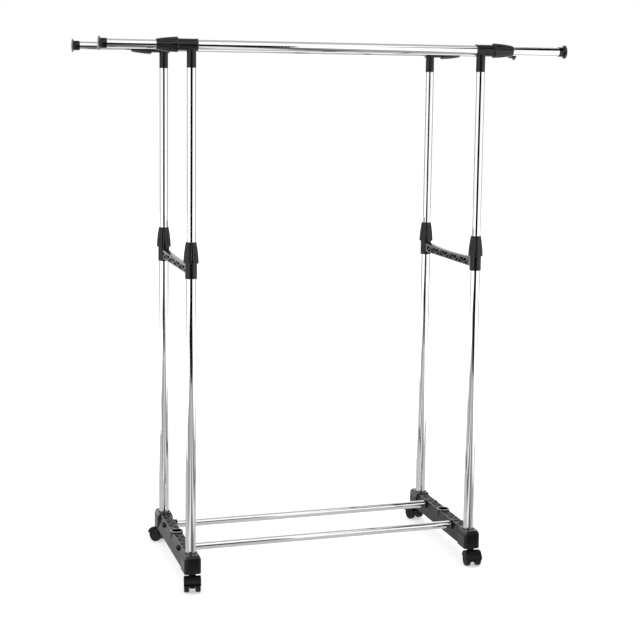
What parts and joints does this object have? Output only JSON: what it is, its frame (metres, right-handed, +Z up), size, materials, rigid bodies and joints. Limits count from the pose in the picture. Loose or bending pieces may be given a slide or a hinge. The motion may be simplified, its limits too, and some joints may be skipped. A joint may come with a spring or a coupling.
{
  "type": "rolling clothes rack",
  "caption": "Rolling clothes rack with two telescopic hanging rails with pull-out ends, telescopic uprights, side handles and a castered base.",
  "frame": {"origin": "on the floor, midway between the four uprights", "axes": "+X along the hanging rails to the right, +Y from the front to the back, +Z up"},
  "size_m": [1.19, 0.4498, 1.3009],
  "materials": {
    "chrome_tube": "polished chrome plate",
    "moulded_black": "moulded black, semi-gloss",
    "cap_black": "moulded black, semi-gloss",
    "caster_black": "moulded black nylon",
    "wheel_black": "black nylon wheel, fine scuffs on the tread",
    "grip_plastic": "natural black acetal",
    "steel": "zinc-plated steel"
  },
  "bodies": {
    "base_frame": {"left_base_beam": "moulded_black", "left_side_handle": "moulded_black", "right_base_beam": "moulded_black", "right_side_handle": "moulded_black", "left_front_lower_tube": "chrome_tube", "left_back_lower_tube": "chrome_tube", "right_front_lower_tube": "chrome_tube", "right_back_lower_tube": "chrome_tube", "front_base_rail": "chrome_tube", "back_base_rail": "chrome_tube", "caster_stems": "steel", "height_grip_rings": "grip_plastic", "base_rail_plugs": "grip_plastic", "base_rail_screws": "steel"},
    "front_rail_frame": {"left_front_upper_tube": "chrome_tube", "left_front_tee_joint": "moulded_black", "right_front_upper_tube": "chrome_tube", "right_front_tee_joint": "moulded_black", "front_hanging_rail": "chrome_tube", "front_rail_grip_rings": "grip_plastic", "front_guide_plugs": "grip_plastic"},
    "back_rail_frame": {"left_back_upper_tube": "chrome_tube", "left_back_tee_joint": "moulded_black", "right_back_upper_tube": "chrome_tube", "right_back_tee_joint": "moulded_black", "back_hanging_rail": "chrome_tube", "back_rail_grip_rings": "grip_plastic", "back_guide_plugs": "grip_plastic"},
    "left_front_height_lock": {"left_front_height_collar": "moulded_black"},
    "left_front_rail_lock": {"left_front_rail_collar": "moulded_black"},
    "left_front_rod": {"left_front_extension_rod": "chrome_tube", "left_front_end_cap": "cap_black"},
    "left_back_height_lock": {"left_back_height_collar": "moulded_black"},
    "left_back_rail_lock": {"left_back_rail_collar": "moulded_black"},
    "left_back_rod": {"left_back_extension_rod": "chrome_tube", "left_back_end_cap": "cap_black"},
    "right_front_height_lock": {"right_front_height_collar": "moulded_black"},
    "right_front_rail_lock": {"right_front_rail_collar": "moulded_black"},
    "right_front_rod": {"right_front_extension_rod": "chrome_tube", "right_front_end_cap": "cap_black"},
    "right_back_height_lock": {"right_back_height_collar": "moulded_black"},
    "right_back_rail_lock": {"right_back_rail_collar": "moulded_black"},
    "right_back_rod": {"right_back_extension_rod": "chrome_tube", "right_back_end_cap": "cap_black"},
    "left_front_caster": {"left_front_caster_hood": "caster_black", "left_front_caster_axle": "steel"},
    "left_front_wheel_a": {"left_front_caster_wheel_a": "wheel_black"},
    "left_front_wheel_b": {"left_front_caster_wheel_b": "wheel_black"},
    "left_back_caster": {"left_back_caster_hood": "caster_black", "left_back_caster_axle": "steel"},
    "left_back_wheel_a": {"left_back_caster_wheel_a": "wheel_black"},
    "left_back_wheel_b": {"left_back_caster_wheel_b": "wheel_black"},
    "right_front_caster": {"right_front_caster_hood": "caster_black", "right_front_caster_axle": "steel"},
    "right_front_wheel_a": {"right_front_caster_wheel_a": "wheel_black"},
    "right_front_wheel_b": {"right_front_caster_wheel_b": "wheel_black"},
    "right_back_caster": {"right_back_caster_hood": "caster_black", "right_back_caster_axle": "steel"},
    "right_back_wheel_a": {"right_back_caster_wheel_a": "wheel_black"},
    "right_back_wheel_b": {"right_back_caster_wheel_b": "wheel_black"}
  },
  "joints": [
    {"name": "front_height_slide", "type": "slide", "parent": "base_frame", "child": "front_rail_frame", "axis": [0, 0, 1], "range_m": [-0.375, 0.27]},
    {"name": "back_height_slide", "type": "slide", "parent": "base_frame", "child": "back_rail_frame", "axis": [0, 0, 1], "range_m": [-0.375, 0.27]},
    {"name": "left_front_height_lock_turn", "type": "hinge", "parent": "base_frame", "child": "left_front_height_lock", "pos_m": [-0.3575, -0.1675, 0.8055], "axis": [0, 0, 1], "range_deg": [0, 120]},
    {"name": "left_front_rail_lock_turn", "type": "hinge", "parent": "front_rail_frame", "child": "left_front_rail_lock", "pos_m": [-0.4145, -0.1675, 1.283], "axis": [-1, 0, 0], "range_deg": [0, 120]},
    {"name": "left_front_rod_slide", "type": "slide", "parent": "front_rail_frame", "child": "left_front_rod", "axis": [-1, 0, 0], "range_m": [-0.1102, 0.1785]},
    {"name": "left_back_height_lock_turn", "type": "hinge", "parent": "base_frame", "child": "left_back_height_lock", "pos_m": [-0.3575, 0.1675, 0.8055], "axis": [0, 0, 1], "range_deg": [0, 120]},
    {"name": "left_back_rail_lock_turn", "type": "hinge", "parent": "back_rail_frame", "child": "left_back_rail_lock", "pos_m": [-0.4145, 0.1675, 1.283], "axis": [-1, 0, 0], "range_deg": [0, 120]},
    {"name": "left_back_rod_slide", "type": "slide", "parent": "back_rail_frame", "child": "left_back_rod", "axis": [-1, 0, 0], "range_m": [-0.1262, 0.1625]},
    {"name": "right_front_height_lock_turn", "type": "hinge", "parent": "base_frame", "child": "right_front_height_lock", "pos_m": [0.3575, -0.1675, 0.8055], "axis": [0, 0, 1], "range_deg": [0, 120]},
    {"name": "right_front_rail_lock_turn", "type": "hinge", "parent": "front_rail_frame", "child": "right_front_rail_lock", "pos_m": [0.4145, -0.1675, 1.283], "axis": [1, 0, 0], "range_deg": [0, 120]},
    {"name": "right_front_rod_slide", "type": "slide", "parent": "front_rail_frame", "child": "right_front_rod", "axis": [1, 0, 0], "range_m": [-0.1222, 0.1665]},
    {"name": "right_back_height_lock_turn", "type": "hinge", "parent": "base_frame", "child": "right_back_height_lock", "pos_m": [0.3575, 0.1675, 0.8055], "axis": [0, 0, 1], "range_deg": [0, 120]},
    {"name": "right_back_rail_lock_turn", "type": "hinge", "parent": "back_rail_frame", "child": "right_back_rail_lock", "pos_m": [0.4145, 0.1675, 1.283], "axis": [1, 0, 0], "range_deg": [0, 120]},
    {"name": "right_back_rod_slide", "type": "slide", "parent": "back_rail_frame", "child": "right_back_rod", "axis": [1, 0, 0], "range_m": [-0.1412, 0.1475]},
    {"name": "left_front_caster_swivel", "type": "hinge", "parent": "base_frame", "child": "left_front_caster", "pos_m": [-0.3575, -0.187, 0.03], "axis": [0, 0, 1], "continuous": true},
    {"name": "left_front_wheel_a_roll", "type": "hinge", "parent": "left_front_caster", "child": "left_front_wheel_a", "pos_m": [-0.35998, -0.19976, 0.0175], "axis": [-0.9816, 0.1908, 0], "continuous": true},
    {"name": "left_front_wheel_b_roll", "type": "hinge", "parent": "left_front_caster", "child": "left_front_wheel_b", "pos_m": [-0.35998, -0.19976, 0.0175], "axis": [-0.9816, 0.1908, 0], "continuous": true},
    {"name": "left_back_caster_swivel", "type": "hinge", "parent": "base_frame", "child": "left_back_caster", "pos_m": [-0.3575, 0.187, 0.03], "axis": [0, 0, 1], "continuous": true},
    {"name": "left_back_wheel_a_roll", "type": "hinge", "parent": "left_back_caster", "child": "left_back_wheel_a", "pos_m": [-0.36586, 0.19696, 0.0175], "axis": [0.766, 0.6428, 0], "continuous": true},
    {"name": "left_back_wheel_b_roll", "type": "hinge", "parent": "left_back_caster", "child": "left_back_wheel_b", "pos_m": [-0.36586, 0.19696, 0.0175], "axis": [0.766, 0.6428, 0], "continuous": true},
    {"name": "right_front_caster_swivel", "type": "hinge", "parent": "base_frame", "child": "right_front_caster", "pos_m": [0.3575, -0.187, 0.03], "axis": [0, 0, 1], "continuous": true},
    {"name": "right_front_wheel_a_roll", "type": "hinge", "parent": "right_front_caster", "child": "right_front_wheel_a", "pos_m": [0.35637, -0.19995, 0.0175], "axis": [-0.9962, 0.0872, 0], "continuous": true},
    {"name": "right_front_wheel_b_roll", "type": "hinge", "parent": "right_front_caster", "child": "right_front_wheel_b", "pos_m": [0.35637, -0.19995, 0.0175], "axis": [-0.9962, 0.0872, 0], "continuous": true},
    {"name": "right_back_caster_swivel", "type": "hinge", "parent": "base_frame", "child": "right_back_caster", "pos_m": [0.3575, 0.187, 0.03], "axis": [0, 0, 1], "continuous": true},
    {"name": "right_back_wheel_a_roll", "type": "hinge", "parent": "right_back_caster", "child": "right_back_wheel_a", "pos_m": [0.35413, 0.19956, 0.0175], "axis": [0.9659, 0.2588, 0], "continuous": true},
    {"name": "right_back_wheel_b_roll", "type": "hinge", "parent": "right_back_caster", "child": "right_back_wheel_b", "pos_m": [0.35413, 0.19956, 0.0175], "axis": [0.9659, 0.2588, 0], "continuous": true}
  ]
}
